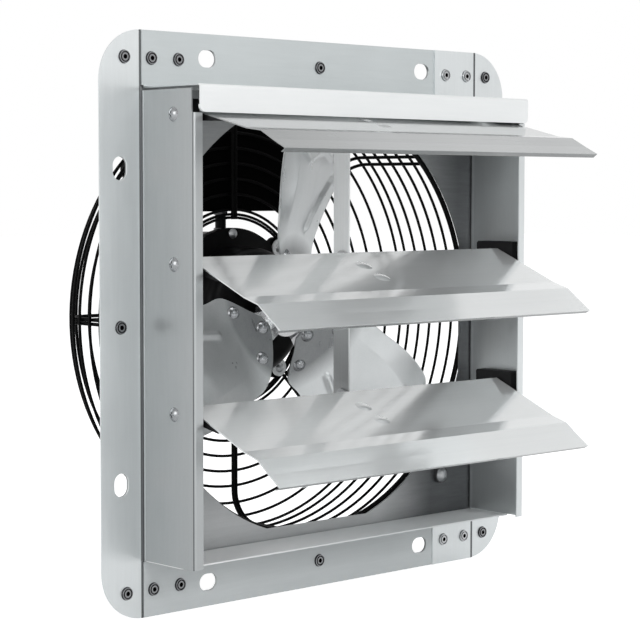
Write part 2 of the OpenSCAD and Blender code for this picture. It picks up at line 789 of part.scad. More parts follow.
// Section of the front shell as [radius, y], turned round the axis
module front_section() {
    difference() {
        union() {
            translate([0, motor_y + front_round_r])
                square([motor_r, front_flange_y - motor_y - front_round_r]);
            translate([0, motor_y]) square([motor_r - front_round_r, front_round_r]);
            intersection() {
                translate([motor_r - front_round_r, motor_y + front_round_r]) circle(front_round_r);
                translate([0, motor_y]) square([motor_r, front_round_r]);
            }
            translate([0, front_flange_y]) square([motor_rim_r, rear_flange_y - front_flange_y]);
        }
        translate([bearing_od_r + boss_wall, motor_y + shell_t + front_round_r])
            square([motor_r - shell_t - bearing_od_r - boss_wall, rear_flange_y - motor_y]);
        translate([bearing_od_r + boss_wall, motor_y + shell_t])
            square([motor_r - shell_t - front_round_r - bearing_od_r, front_round_r + cut]);
        translate([0, motor_y + shell_t]) square([bearing_od_r + shy, bearing_l + shy]);
        translate([0, motor_y - cut]) square([shaft_r + play, rear_flange_y]);
        translate([0, motor_y + shell_t + bearing_l])
            square([motor_r - shell_t, rear_flange_y - motor_y]);
    }
}

// Turns a [radius, y] section round the Y axis
module turned() {
    rotate([-90, 0, 0]) rotate_extrude($fn = 96) children();
}

// Copies on a circle round the Y axis
module round_axis(r, first, n) {
    for (k = [0:n - 1]) rotate([0, first + k * 360 / n, 0]) translate([r, 0, 0]) children();
}

module motor_front_shell() color([0.12, 0.12, 0.12]) difference() {
    turned() front_section();
    round_axis(shell_bolt_r, 0, 4) rod(shell_bolt_shank_r + shy, motor_y, rear_end);
}

// Rear shell: mounting flange with four lugs, then the round-backed body
module motor_rear_shell() color([0.12, 0.12, 0.12]) difference() {
    union() {
        turned() rear_section();
        round_axis(mount_ring_r, 45, 4) rod(lug_r, rear_flange_y, lug_t);
    }
    turned() rear_hollow();
    round_axis(mount_ring_r, 45, 4)
        rod(mount_bolt_r + shy, rear_flange_y - cut, lug_t + 2 * cut);
    round_axis(shell_bolt_r, 0, 4) rod(shell_bolt_shank_r + shy, rear_flange_y - cut, shell_bolt_l + cut);
    translate([0, nipple_y, rear_body_r - nipple_in])
        cylinder(r = nipple_r + shy, h = nipple_in + lug_r);
    translate([0, nipple_y, motor_r - shell_t - cut])
        cylinder(r = nipple_bore, h = rear_body_r - motor_r + shell_t);
}

module rear_section() {
    translate([0, rear_flange_y]) square([motor_rim_r, rear_flange_t]);
    translate([0, rear_flange_y]) square([rear_body_r, rear_end - rear_round_r - rear_flange_y]);
    translate([0, rear_flange_y]) square([rear_body_r - rear_round_r, rear_end - rear_flange_y]);
    translate([rear_body_r - rear_round_r, rear_end - rear_round_r]) circle(rear_round_r);
}

// Room for the stator and windings, then the rear bearing's pocket
module rear_hollow() {
    translate([0, rear_flange_y - cut])
        square([motor_r - shell_t, rear_body_l + cut - bearing_l - shell_t]);
    translate([0, rear_flange_y]) square([bearing_od_r + shy, rear_end - shell_t - rear_flange_y]);
}

module motor_shell_bolts() color("silver") round_axis(shell_bolt_r, 0, 4) {
    translate([0, front_flange_y, 0]) rotate([90, 0, 0]) dome(shell_bolt_head_r, shell_bolt_head_h);
    rod(shell_bolt_shank_r, front_flange_y, rear_flange_y - front_flange_y + shell_bolt_l - shy);
}

module motor_mount_washers() color("silver") round_axis(mount_ring_r, 45, 4) difference() {
    rod(mount_washer_r, washer_y, mount_washer_t);
    rod(mount_bolt_r + shy, washer_y - cut, mount_washer_t + 2 * cut);
}

module motor_mount_bolts() color("silver") round_axis(mount_ring_r, 45, 4) {
    translate([0, washer_y, 0]) rotate([90, 0, 0]) dome(mount_bolt_head_r, mount_bolt_head_h);
    rod(mount_bolt_r, washer_y, rear_flange_y + lug_t + nut_h + sheet_t - washer_y);
}

module motor_mount_nuts() color("gray") round_axis(mount_ring_r, 45, 4)
    hex_nut(mount_bolt_r, rear_flange_y + lug_t, nut_h);

module stator_core() color("dimgray") difference() {
    rod(motor_r - shell_t - shy, stator_y, stator_l);
    rod(stator_in_r, stator_y - cut, stator_l + 2 * cut);
}

// The copper end turns in front of and behind the stator
module stator_windings() color([0.72, 0.4, 0.2])
    for (y = [stator_y - winding_r, stator_y + stator_l + winding_r])
        wire_ring(winding_ring_r, y, winding_r - shy);

rear_bearing_y = rear_end - shell_t - bearing_l;

module motor_bearings() color("silver")
    for (y = [motor_y + shell_t, rear_bearing_y]) difference() {
        rod(bearing_od_r, y, bearing_l);
        rod(shaft_r + shy, y - cut, bearing_l + 2 * cut);
    }

module rotor_core() color("gray") difference() {
    rod(stator_in_r - rotor_gap, stator_y, stator_l);
    rod(shaft_r + shy, stator_y - cut, stator_l + 2 * cut);
}

module motor_shaft() color("silver")
    rod(shaft_r, hub_y - shaft_front, rear_bearing_y + bearing_l - shy - hub_y + shaft_front);

// Places an arm's own frame: X out along the arm, Z across it, Y its normal
module on_arm(k) {
    translate([0, hub_y, 0]) rotate([0, -first_blade - k * 360 / blade_count, 0])
        rotate([blade_pitch, 0, 0]) children();
}

// A closed sheet between two grids of points, front(i, j) and back(i, j)
module sheet_solid(front, back) {
    rows = len(front);
    cols = len(front[0]);
    n = rows * cols;
    flat = concat([for (row = front, p = row) p], [for (row = back, p = row) p]);
    quads = concat(
        [for (i = [0:rows - 2], j = [0:cols - 2]) each two(
            i * cols + j, i * cols + j + 1, (i + 1) * cols + j + 1, (i + 1) * cols + j)],
        [for (i = [0:rows - 2], j = [0:cols - 2]) each two(
            n + i * cols + j, n + (i + 1) * cols + j, n + (i + 1) * cols + j + 1, n + i * cols + j + 1)],
        [for (i = [0:rows - 2]) each two(
            i * cols, (i + 1) * cols, n + (i + 1) * cols, n + i * cols)],
        [for (i = [0:rows - 2]) each two(
            (i + 1) * cols + cols - 1, i * cols + cols - 1, n + i * cols + cols - 1,
            n + (i + 1) * cols + cols - 1)],
        [for (j = [0:cols - 2]) each two(j + 1, j, n + j, n + j + 1)],
        [for (j = [0:cols - 2]) each two(
            (rows - 1) * cols + j, (rows - 1) * cols + j + 1,
            n + (rows - 1) * cols + j + 1, n + (rows - 1) * cols + j)]);
    polyhedron(flat, quads);
}

// The two triangles of a four-sided face
function two(a, b, c, d) = [[a, b, c], [a, c, d]];

// A smooth step from 0 to 1
function ease(x) = let (t = min(1, max(0, x))) t * t * (3 - 2 * t);

// A point of a table of pairs at the share u of its length
function along(table, u) = let (
    t = u * (len(table) - 1), k = min(len(table) - 2, floor(t)), f = t - k)
    table[k] * (1 - f) + table[k + 1] * f;

// Place on the blade for u from root to tip and v from the rear edge to the
// front edge, as [along the arm, across it], with the tip on its circle
function blade_place(u, v) = let (
    rear = along(rear_shares, u) * tip_r, front = along(front_shares, u) * tip_r,
    p = rear * (1 - v) + front * v,
    end = along(rear_shares, 1) * (1 - v) * tip_r + along(front_shares, 1) * v * tip_r,
    arc = sqrt(tip_r * tip_r - pow(end[1] * cos(blade_pitch), 2)) - end[0])
    [p[0] + arc * u * u, p[1]];

// How far the blade stands in front of its flat root: it sets forward towards
// the tip, waves along its middle and folds back beyond the front crease
function blade_off(u, v) = let (
    out = ease((blade_place(u, v)[0] - flat_root_r) / (tip_r / 3)),
    wave = sin(180 * min(1, max(0, (v - 0.4) / (fold_share - 0.4)))),
    fold = max(0, v - fold_share) / (1 - fold_share))
    out * (blade_set + blade_wave * wave - blade_fold * fold);

// Chord positions, with a row of points on the front crease
function chord_at(j) = j <= blade_chord_steps - 2 ? fold_share * j / (blade_chord_steps - 2)
    : fold_share + (1 - fold_share) * (j - blade_chord_steps + 2) / 2;

function blade_grid(y) = [for (i = [0:blade_span_steps]) [for (j = [0:blade_chord_steps])
    let (u = i / blade_span_steps, v = chord_at(j), p = blade_place(u, v))
        [p[0], y - blade_off(u, v), p[1]]]];

module blade(k) color("gainsboro") on_arm(k) difference() {
    sheet_solid(blade_grid(-blade_t / 2), blade_grid(blade_t / 2));
    for (p = rivet_places) translate([p[0], 0, p[1]])
        rod(blade_shank_r + shy, -cut - blade_t, blade_t * 2 + 2 * cut);
}

module blade_1() blade(0);
module blade_2() blade(1);
module blade_3() blade(2);

// One arm of the spider, twisting from the flat disc to the blade pitch
module spider_arm(k) {
    back = blade_t / 2;
    turn = [for (r = arm_r) blade_pitch * ease((r - arm_turn_r[0]) / (arm_turn_r[1] - arm_turn_r[0]))];
    face = [for (y = [back, back + arm_t]) [for (i = [0:len(arm_r) - 1]) [for (s = [-1, -0.4, 0.4, 1])
        [arm_r[i], y * cos(turn[i]) - s * arm_half[i] * sin(turn[i]),
            y * sin(turn[i]) + s * arm_half[i] * cos(turn[i])]]]];
    translate([0, hub_y, 0]) rotate([0, -first_blade - k * 360 / blade_count, 0])
        sheet_solid(face[0], face[1]);
}

module hub_spider() color("silver") difference() {
    union() {
        rod(spider_disc_r, hub_y + blade_t / 2 - shy, arm_t + 2 * shy);
        for (k = [0:blade_count - 1]) spider_arm(k);
    }
    rod(shaft_r + shy, hub_y - arm_half[5], 2 * arm_half[5]);
    for (k = [0:blade_count - 1], p = rivet_places) on_arm(k) translate([p[0], 0, p[1]])
        rod(blade_shank_r + shy, -cut, blade_t + arm_t + 2 * cut);
}

boss_y = hub_y + blade_t / 2 + arm_t + shy;

// Boss that the spider is swaged to, with a set screw onto the shaft
module hub_boss() color("silver") difference() {
    rod(boss_r, boss_y, boss_l);
    rod(shaft_r + shy, boss_y - cut, boss_l + 2 * cut);
    translate([0, boss_y + boss_l / 2, 0]) rotate([0, 90, 0])
        cylinder(r = set_screw_r + shy, h = boss_r + cut);
}

module hub_set_screw() color("dimgray")
    translate([shaft_r + shy, boss_y + boss_l / 2, 0]) rotate([0, 90, 0])
        cylinder(r = set_screw_r, h = boss_r - shaft_r);

// Three dome rivets for each blade, upset behind the spider's arm
module blade_rivets() color("whitesmoke")
    for (k = [0:blade_count - 1], p = rivet_places) on_arm(k) translate([p[0], 0, p[1]]) {
        translate([0, -blade_t / 2, 0]) rotate([90, 0, 0]) dome(blade_rivet_r, blade_rivet_h);
        rod(blade_shank_r, -blade_t / 2, blade_t + arm_t);
        rod(blade_tail_r, blade_t / 2 + arm_t, blade_tail_h);
    }

// Copies at the four corners of the junction box lid
module at_lid_screws() {
    for (x = [-1, 1], z = [0, 1]) translate([x * (jbox_w / 2 - lid_screw_in), 0,
        jbox_z + (z > 0 ? jbox_h - lid_screw_in : lid_screw_in)]) children();
}

module junction_box() color([0.1, 0.1, 0.1]) difference() {
    union() {
        difference() {
            translate([-jbox_w / 2, jbox_y, jbox_z]) cube([jbox_w, jbox_d, jbox_h]);
            translate([-jbox_w / 2 + jbox_t, jbox_y + jbox_t, jbox_z + jbox_t])
                cube([jbox_w - 2 * jbox_t, jbox_d, jbox_h - 2 * jbox_t]);
        }
        at_lid_screws() rod(lid_screw_in - shy, jbox_y + jbox_t, jbox_d - jbox_t);
    }
    at_lid_screws() rod(lid_screw_r + shy, jbox_y + jbox_d - lid_screw_l, lid_screw_l + cut);
    translate([0, nipple_y, jbox_z - cut]) cylinder(r = nipple_r + shy, h = jbox_t + 2 * cut);
}

module junction_lid() color([0.1, 0.1, 0.1]) difference() {
    translate([-jbox_w / 2, jbox_y + jbox_d, jbox_z]) cube([jbox_w, lid_t, jbox_h]);
    at_lid_screws() rod(lid_screw_r + shy, jbox_y + jbox_d - cut, lid_t + 2 * cut);
}

module lid_screws() color("silver") at_lid_screws() {
    rod(lid_screw_r, jbox_y + jbox_d + lid_t - lid_screw_l, lid_screw_l);
    translate([0, jbox_y + jbox_d + lid_t, 0]) rotate([-90, 0, 0])
        dome(lid_screw_head_r, lid_screw_head_h);
}

// Threaded tube that carries the box on the motor and leads the wires
module conduit_nipple() color([0.15, 0.15, 0.15])
    translate([0, nipple_y, rear_body_r - nipple_in]) difference() {
        cylinder(r = nipple_r, h = jbox_z + jbox_t + conduit_nut_h - rear_body_r + nipple_in);
        translate([0, 0, -cut]) cylinder(r = nipple_bore, h = jbox_h + jbox_z);
    }

// Lock nuts on the nipple: on the motor, under the box and inside it
module conduit_nuts() color("gray")
    for (z = [rear_body_r + seat, jbox_z - conduit_nut_h, jbox_z + jbox_t])
        translate([0, nipple_y, z]) difference() {
            cylinder(r = nipple_r * conduit_nut_share, h = conduit_nut_h, $fn = 6);
            translate([0, 0, -cut]) cylinder(r = nipple_r + shy, h = conduit_nut_h + 2 * cut);
        }

module run_capacitor() color("gainsboro")
    translate([-inside_x, jbox_y + jbox_t + capacitor_r + play, jbox_z + jbox_t + capacitor_r + play])
        rotate([0, 90, 0]) cylinder(r = capacitor_r, h = capacitor_l);

module terminal_block() color("ivory")
    translate([inside_x - block_size[0], jbox_y + jbox_t, jbox_z + jbox_t + lid_screw_in])
        cube(block_size);

left_rail();
right_rail();
top_rail();
bottom_rail();
fan_panel();
frame_rivets();
slat_bearings();
pivot_screws();
slat_top();
slat_middle();
slat_bottom();
slat_top_pivots();
slat_middle_pivots();
slat_bottom_pivots();
slat_top_bracket();
slat_middle_bracket();
slat_bottom_bracket();
slat_top_rivets();
slat_middle_rivets();
slat_bottom_rivets();
tie_bar();
guard_front_ring();
guard_side_rings();
guard_rear_rings();
guard_spokes();
guard_bolts();
guard_spacers();
guard_washers();
guard_nuts();
motor_front_shell();
motor_rear_shell();
motor_shell_bolts();
motor_mount_bolts();
motor_mount_washers();
motor_mount_nuts();
stator_core();
stator_windings();
motor_bearings();
rotor_core();
motor_shaft();
hub_spider();
hub_boss();
hub_set_screw();
blade_1();
blade_2();
blade_3();
blade_rivets();
junction_box();
junction_lid();
lid_screws();
conduit_nipple();
conduit_nuts();
run_capacitor();
terminal_block();
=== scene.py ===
import json

import bpy
import numpy as np
from mathutils import Matrix, Vector


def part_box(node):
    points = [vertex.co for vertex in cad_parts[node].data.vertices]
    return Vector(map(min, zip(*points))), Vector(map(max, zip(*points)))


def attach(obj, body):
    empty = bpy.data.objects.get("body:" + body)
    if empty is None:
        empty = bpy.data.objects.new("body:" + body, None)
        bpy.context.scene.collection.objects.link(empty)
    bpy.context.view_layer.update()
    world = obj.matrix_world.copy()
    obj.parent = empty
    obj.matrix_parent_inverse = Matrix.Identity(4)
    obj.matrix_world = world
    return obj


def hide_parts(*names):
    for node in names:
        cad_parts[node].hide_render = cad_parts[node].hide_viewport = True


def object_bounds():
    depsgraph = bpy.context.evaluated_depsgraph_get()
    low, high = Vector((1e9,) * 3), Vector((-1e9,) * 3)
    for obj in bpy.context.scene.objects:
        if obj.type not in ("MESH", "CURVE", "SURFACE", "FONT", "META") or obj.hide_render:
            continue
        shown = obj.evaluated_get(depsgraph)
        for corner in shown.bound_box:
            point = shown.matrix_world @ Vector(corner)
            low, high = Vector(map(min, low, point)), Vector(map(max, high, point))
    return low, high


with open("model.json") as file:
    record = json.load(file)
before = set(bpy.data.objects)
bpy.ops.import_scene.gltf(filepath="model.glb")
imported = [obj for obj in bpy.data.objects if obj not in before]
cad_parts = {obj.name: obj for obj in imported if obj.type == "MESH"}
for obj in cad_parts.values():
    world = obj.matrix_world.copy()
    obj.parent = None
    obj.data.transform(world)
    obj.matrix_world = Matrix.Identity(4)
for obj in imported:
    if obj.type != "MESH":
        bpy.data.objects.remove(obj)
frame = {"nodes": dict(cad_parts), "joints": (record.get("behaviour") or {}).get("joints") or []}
cad_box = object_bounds()
nodes = frame["nodes"]
scene = bpy.context.scene
scene.view_settings.view_transform = "Standard"

# The camera stands in front and to the left of the fan, about a metre and a
# half away and a little above its middle, with a long lens.
camera_place = Vector((-0.99514, -1.06109, 0.09295))
turn, tilt, roll = np.radians([43.18, 3.768, -0.075])
lens_length, sensor_width = 111.56, 36.0
nearest, farthest = 0.05, 60.0
camera_data = bpy.data.cameras.new("camera")
camera_data.sensor_width = sensor_width
camera_data.lens = lens_length
camera_data.clip_start = nearest
camera_data.clip_end = farthest
camera = bpy.data.objects.new("camera", camera_data)
scene.collection.objects.link(camera)
scene.camera = camera
ahead = Vector((np.sin(turn) * np.cos(tilt), np.cos(turn) * np.cos(tilt), -np.sin(tilt)))
side = Vector((np.cos(turn), -np.sin(turn), 0.0))
over = side.cross(ahead)
camera_axes = Matrix((side, over, -ahead)).transposed() @ Matrix.Rotation(-roll, 3, "Z")
camera.matrix_world = Matrix.Translation(camera_place) @ camera_axes.to_4x4()


# Studio: a pale floor under the flange's lower edge, a surround that is white
# to the camera and a little dimmer to the metal from above and in front, and
# soft lamps in front, on the left and above.
class Socket:
    """One output of a shader node. Arithmetic on it adds Math nodes to its tree."""

    def __init__(self, tree, link):
        self.tree, self.link = tree, link

    def node(self, kind, out=0, settings=(), **inputs):
        """Adds a node of this kind and returns its output by number or name. The settings are set first, and
        a ramp's stops are pairs of place and colour. Inputs are given by name, with _ for a space, or by
        number after a _."""
        made = self.tree.nodes.new(kind)
        for key, value in dict(settings).items():
            if key == "stops":
                self._set_stops(made.color_ramp.elements, value)
            else:
                setattr(made, key, value)
        for key, value in inputs.items():
            slot = made.inputs[int(key[1:])] if key[1:].isdigit() else made.inputs[key.replace("_", " ")]
            if isinstance(value, Socket):
                self.tree.links.new(value.link, slot)
            else:
                slot.default_value = value
        return Socket(self.tree, made.outputs[out])

    def _set_stops(self, elements, stops):
        while len(elements) < len(stops):
            elements.new(0.5)
        for element, (place, colour) in zip(elements, stops):
            element.position = place
            element.color = (*colour, 1.0)

    def _math(self, operation, first, second):
        return self.node("ShaderNodeMath", settings={"operation": operation}, _0=first, _1=second)

    def __add__(self, other):
        return self._math("ADD", self, other)

    def __sub__(self, other):
        return self._math("SUBTRACT", self, other)

    def __mul__(self, other):
        return self._math("MULTIPLY", self, other)

    def __truediv__(self, other):
        return self._math("DIVIDE", self, other)

    def __rsub__(self, other):
        return self._math("SUBTRACT", other, self)

    def __rtruediv__(self, other):
        return self._math("DIVIDE", other, self)

    __radd__, __rmul__ = __add__, __mul__


def start(material):
    """Empties a material's or world's tree and returns a socket of its object coordinates."""
    material.use_nodes = True
    material.node_tree.nodes.clear()
    coordinates = material.node_tree.nodes.new("ShaderNodeTexCoord")
    return Socket(material.node_tree, coordinates.outputs["Object"])


def end(of, shader, kind="ShaderNodeOutputMaterial"):
    """Joins a shader to its tree's output."""
    made = of.tree.nodes.new(kind)
    of.tree.links.new(shader.link, made.inputs["Surface"])


def ray_is(of, kind):
    """1 where the ray is of this kind, and 0 elsewhere."""
    return of.node("ShaderNodeLightPath", out=f"Is {kind} Ray")


def along(of, axis):
    """The X, Y or Z coordinate of a vector socket."""
    return of.node("ShaderNodeSeparateXYZ", out=axis, Vector=of)


def clamped(value):
    """A socket value held between 0 and 1."""
    return value.node("ShaderNodeClamp", Value=value)


def larger(first, second):
    """The larger of two socket values."""
    return first.node("ShaderNodeMath", settings={"operation": "MAXIMUM"}, _0=first, _1=second)


plain_white = (1.0, 1.0, 1.0, 1.0)
sky_white = (0.96, 0.98, 1.0, 1.0)
sky_strength, room_strength, dim_above, dim_in_front = 0.5, 0.98, 0.27, 0.2
above_start, above_span, front_start, front_span = 0.3, 0.32, -0.1, 0.5
world = bpy.data.worlds.new("surround")
scene.world = world
air = start(world)
white = air.node("ShaderNodeBackground", Color=plain_white, Strength=1.0)
ambient = air.node("ShaderNodeBackground", Color=sky_white, Strength=sky_strength)
direction = air.node("ShaderNodeTexCoord", out="Generated")
above = clamped((along(direction, "Z") - above_start) / above_span)
in_front = clamped((front_start - along(direction, "Y")) / front_span)
room = air.node("ShaderNodeBackground", Color=plain_white,
    Strength=room_strength - above * dim_above - in_front * dim_in_front)
lit = air.node("ShaderNodeMixShader", Fac=ray_is(air, "Glossy"), _1=ambient, _2=room)
direct = larger(ray_is(air, "Camera"), ray_is(air, "Transmission"))
end(air, air.node("ShaderNodeMixShader", Fac=direct, _1=lit, _2=white), "ShaderNodeOutputWorld")

floor_reach, floor_gap = 9.0, 0.0004
floor_level = cad_box[0].z - floor_gap
corner_signs = [(-1, -1), (1, -1), (1, 1), (-1, 1)]
floor_corners = [(x * floor_reach, y * floor_reach, floor_level) for x, y in corner_signs]
floor_mesh = bpy.data.meshes.new("floor")
floor_mesh.from_pydata(floor_corners, [], [(0, 1, 2, 3)])
floor = bpy.data.objects.new("floor", floor_mesh)
scene.collection.objects.link(floor)
camera_glow, near_glow, far_glow, far_start, far_span = 0.76, 0.24, 0.25, 0.7, 0.9
floor_look = bpy.data.materials.new("pale_floor")
ground = start(floor_look)
matt = ground.node("ShaderNodeBsdfDiffuse", Color=(0.72, 0.72, 0.72, 1.0))
span = ground.node("ShaderNodeVectorMath", out="Value", settings={"operation": "LENGTH"}, _0=ground)
far_off = clamped((span - far_start) / far_span)
glow = ground.node("ShaderNodeEmission", Strength=ray_is(ground, "Camera") * camera_glow
    + ray_is(ground, "Glossy") * (far_off * far_glow + near_glow))
end(ground, ground.node("ShaderNodeAddShader", _0=matt, _1=glow))
floor_mesh.materials.append(floor_look)


def soft_lamp(name, place, aim, size, power):
    """A square area lamp at place, turned to aim."""
    data = bpy.data.lights.new(name, "AREA")
    data.size = size
    data.energy = power
    lamp = bpy.data.objects.new(name, data)
    lamp.location = place
    lamp.rotation_euler = (Vector(aim) - Vector(place)).to_track_quat("-Z", "Y").to_euler()
    scene.collection.objects.link(lamp)


soft_lamp("key_lamp", place=(0.5, -2.4, 1.9), aim=(0.0, 0.0, 0.0), size=1.3, power=25.0)
soft_lamp("left_lamp", place=(-2.6, -0.3, 0.7), aim=(0.0, 0.0, 0.0), size=1.4, power=11.5)
soft_lamp("front_lamp", place=(-0.5, -2.3, 0.8), aim=(0.0, 0.0, -0.1), size=0.9, power=12.0)
soft_lamp("top_lamp", place=(0.0, 0.1, 2.6), aim=(0.0, 0.0, 0.0), size=1.2, power=14.0)


# Side rails: bent sheet with the flange, the side wall and its folded lip in one piece, mill finish with
# faint rolling lines that run up the sheet. Shade is painted along their bends, and more over the left wall
# and lip than over the right.
def object_noise(of, scale, detail, rough, stretch=(1.0, 1.0, 1.0)):
    """Noise on the object's coordinates, drawn out where a stretch is under one."""
    placed = of.node("ShaderNodeMapping", Vector=of, Scale=stretch)
    return placed.node("ShaderNodeTexNoise", Vector=placed, Scale=scale, Detail=detail, Roughness=rough)


def ramped(value, stops):
    """A colour from a value, with stops of (place, colour)."""
    return value.node("ShaderNodeValToRGB", settings={"stops": stops}, Fac=value)


def sheet_finish(name, dark, pale, rough, metallic, lines, line_scale=70.0, dent=0.02, patch=None,
        patch_dark=None, patch_pale=None):
    """Rolled sheet: its colour runs from dark to pale with a slow cloud and fine lines, stretched as lines
    says, and the lines stand up by dent in millimetres. A patch is a function of the coordinates that is 1
    where the sheet turns to patch_dark and patch_pale, which paint light or shade on it."""
    made = bpy.data.materials.new(name)
    of = start(made)
    cloud = object_noise(of, 9.0, 4.0, 0.55)
    drawn = object_noise(of, line_scale, 3.0, 0.65, lines)
    speck = object_noise(of, 900.0, 2.0, 0.5)
    tone = cloud * 0.5 + drawn * 0.35 + speck * 0.15
    low, high = 0.34, 0.66
    colour = ramped(tone, [(low, dark), (high, pale)])
    if patch:
        patch_colour = ramped(tone, [(low, patch_dark), (high, patch_pale)])
        colour = of.node("ShaderNodeMix", out=2, settings={"data_type": "RGBA"},
            _0=patch(of), _6=colour, _7=patch_colour)
    bump = of.node("ShaderNodeBump", Strength=0.25, Distance=dent * 0.001, Height=drawn * 0.8 + speck * 0.2)
    body = of.node("ShaderNodeBsdfPrincipled", Base_Color=colour, Metallic=metallic,
        Roughness=(drawn - 0.5) * 0.16 + (cloud - 0.5) * 0.1 + rough, Normal=bump)
    end(of, body)
    return made


def dress(names, material):
    """Gives CAD nodes this material alone."""
    for name in names:
        nodes[name].data.materials.clear()
        nodes[name].data.materials.append(material)


def past(axis, place, blur=0.001):
    """A patch over what has a lower coordinate on this axis than place, with an edge as wide as blur."""
    def inside(of):
        return clamped((place - along(of, axis)) / blur + 0.5)
    return inside


def smaller(first, second):
    """The smaller of two socket values."""
    return first.node("ShaderNodeMath", settings={"operation": "MINIMUM"}, _0=first, _1=second)


def distance(value, place):
    """How far a socket value is from place."""
    gap = value - place
    return gap.node("ShaderNodeMath", settings={"operation": "ABSOLUTE"}, _0=gap)


rail_front, half_sheet, lip_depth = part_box("left_rail")[0].y, 0.0006, 0.0019
wall_face, wall_start, flange_bend, lip_bend = 0.1655, -0.003, -0.0005, rail_front + half_sheet
bend_reach, bend_blur, lip_edge_blur, middle_blur = 0.0014, 0.0006, 0.0005, 0.01
wall_shade, lip_shade, left_wall_shade, left_lip_shade = 0.2, 0.06, 0.34, 0.4


def painted_bend_shade(of):
    """Painted shade along the two bends of each side wall, at the flange and at the front lip, and weakly
    over the walls and lips, more so on the left."""
    off_wall = distance(distance(along(of, "X"), 0.0), wall_face)
    back = along(of, "Y")
    off_bend = smaller(distance(back, flange_bend), distance(back, lip_bend))
    bends = clamped((bend_reach - larger(off_wall, off_bend)) / bend_blur)
    lips = past("Y", rail_front + lip_depth, lip_edge_blur)(of)
    walls = past("Y", wall_start)(of) - lips
    left = past("X", 0.0, middle_blur)(of)
    shade = walls * (left * left_wall_shade + wall_shade) + lips * (left * left_lip_shade + lip_shade)
    return larger(bends, shade)


rail_look = sheet_finish("rail_sheet", dark=(0.76, 0.79, 0.795), pale=(0.82, 0.85, 0.855), rough=0.34,
    metallic=0.8, lines=(6.0, 6.0, 0.35), patch=painted_bend_shade, patch_dark=(0.10, 0.105, 0.11),
    patch_pale=(0.14, 0.145, 0.15))
dress(["left_rail", "right_rail"], rail_look)


# Top rail: the same sheet, folded forward to the visor over the slats, with the rolling lines across. A
# painted highlight makes the visor's front face bright.
visor_front, visor_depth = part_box("top_rail")[0].y, 0.002
top_look = sheet_finish("visor_sheet", dark=(0.58, 0.615, 0.62), pale=(0.64, 0.675, 0.68), rough=0.36,
    metallic=0.7, lines=(0.35, 6.0, 6.0), patch=past("Y", visor_front + visor_depth),
    patch_dark=(0.90, 0.92, 0.92), patch_pale=(0.95, 0.96, 0.96))
dress(["top_rail"], top_look)


# Bottom rail: the same sheet again, folded forward to the ledge under the slats. Light is painted on the
# ledge, so it is paler than the flange, most of all at its left end.
ledge_start, ledge_middle, ledge_blur = -0.002, -0.05, 0.2
ledge_light, left_ledge_light = 0.25, 0.75


def painted_ledge_light(of):
    """Painted light over the ledge in front of the flange, strongest at its left end."""
    left = past("X", ledge_middle, ledge_blur)(of)
    return past("Y", ledge_start)(of) * (left * left_ledge_light + ledge_light)


cross_look = sheet_finish("cross_sheet", dark=(0.61, 0.64, 0.645), pale=(0.68, 0.71, 0.715), rough=0.5,
    metallic=0.1, lines=(0.35, 6.0, 6.0), patch=painted_ledge_light, patch_dark=(0.97, 0.975, 0.975),
    patch_pale=(1.0, 1.0, 1.0))
dress(["bottom_rail"], cross_look)


# Fan panel: a flat square sheet behind the flange, with the round opening for the blades. It is painted
# darker than the rails, as painted shade, and painted lighter over its foot and its upper part, where less
# shade is painted.
foot_height, foot_end, foot_blur = -0.115, 0.09, 0.06
head_height, head_height_blur, head_end, head_end_blur, head_light = 0.07, 0.08, 0.132, 0.035, 0.5


def painted_panel_light(of):
    """Painted light over the panel's foot, left of its lower right corner, and more weakly over its upper
    part, left of its upper right corner, where the panel's painted shade is lifted."""
    foot = past("Z", foot_height, foot_blur)(of) * past("X", foot_end, foot_blur)(of)
    head = past("X", head_end, head_end_blur)(of) * (1.0 - past("Z", head_height, head_height_blur)(of))
    return foot + head * head_light


panel_look = sheet_finish("panel_sheet", dark=(0.11, 0.115, 0.12), pale=(0.17, 0.175, 0.18), rough=0.36,
    metallic=0.6, lines=(0.5, 6.0, 6.0), patch=painted_panel_light, patch_dark=(0.44, 0.45, 0.455),
    patch_pale=(0.54, 0.55, 0.555))
dress(["fan_panel"], panel_look)


# Frame rivets: tubular rivets that hold the rails and the panel together.
# Their rolled heads are polished, and shade is painted over the rest of them, behind the heads.
rivet_front, head_depth, head_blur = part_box("frame_rivets")[0].y, 0.001, 0.0008
rivet_look = sheet_finish("polished_rivet", dark=(0.04, 0.04, 0.045), pale=(0.08, 0.08, 0.085), rough=0.22,
    metallic=1.0, lines=(4.0, 4.0, 4.0), line_scale=300.0,
    patch=past("Y", rivet_front + head_depth, head_blur), patch_dark=(0.50, 0.51, 0.52),
    patch_pale=(0.68, 0.69, 0.70))
dress(["frame_rivets"], rivet_look)


# Pivot screws: bright steel screws with dome heads, driven from outside
# through the side walls into the bearing blocks.
screw_look = sheet_finish("screw_steel", dark=(0.30, 0.31, 0.32), pale=(0.46, 0.47, 0.48), rough=0.22,
    metallic=1.0, lines=(4.0, 4.0, 4.0), line_scale=300.0)
dress(["pivot_screws"], screw_look)


# Slats: thin bright aluminium, rolled along their length and bent near the front, with a folded lip. Shade is
# painted on each slat's lip, and the top slat is painted darker than the other two, most at its left end, as
# painted shade from the visor.
left_end, left_end_blur, left_end_shade = -0.09, 0.1, 0.3
lip_reach, lip_blur = 0.0004, 0.0003


def painted_slat_shade(hinge, lean, tone):
    """Painted shade over a slat's folded lip, which lies under the plane of the slat's own face, and over its
    rest as far as tone says, more so at its left end. The plane passes the hinge and leans by this angle."""
    def inside(of):
        back = along(of, "Y") - hinge.y
        up = along(of, "Z") - hinge.z
        off = up * np.cos(lean) - back * np.sin(lean)
        rest = past("X", left_end, left_end_blur)(of) * left_end_shade * tone + tone
        return larger(clamped((lip_reach - off) / lip_blur), rest)
    return inside


hinge_places = {joint["name"]: Vector(joint["pos_m"]) for joint in frame["joints"]}
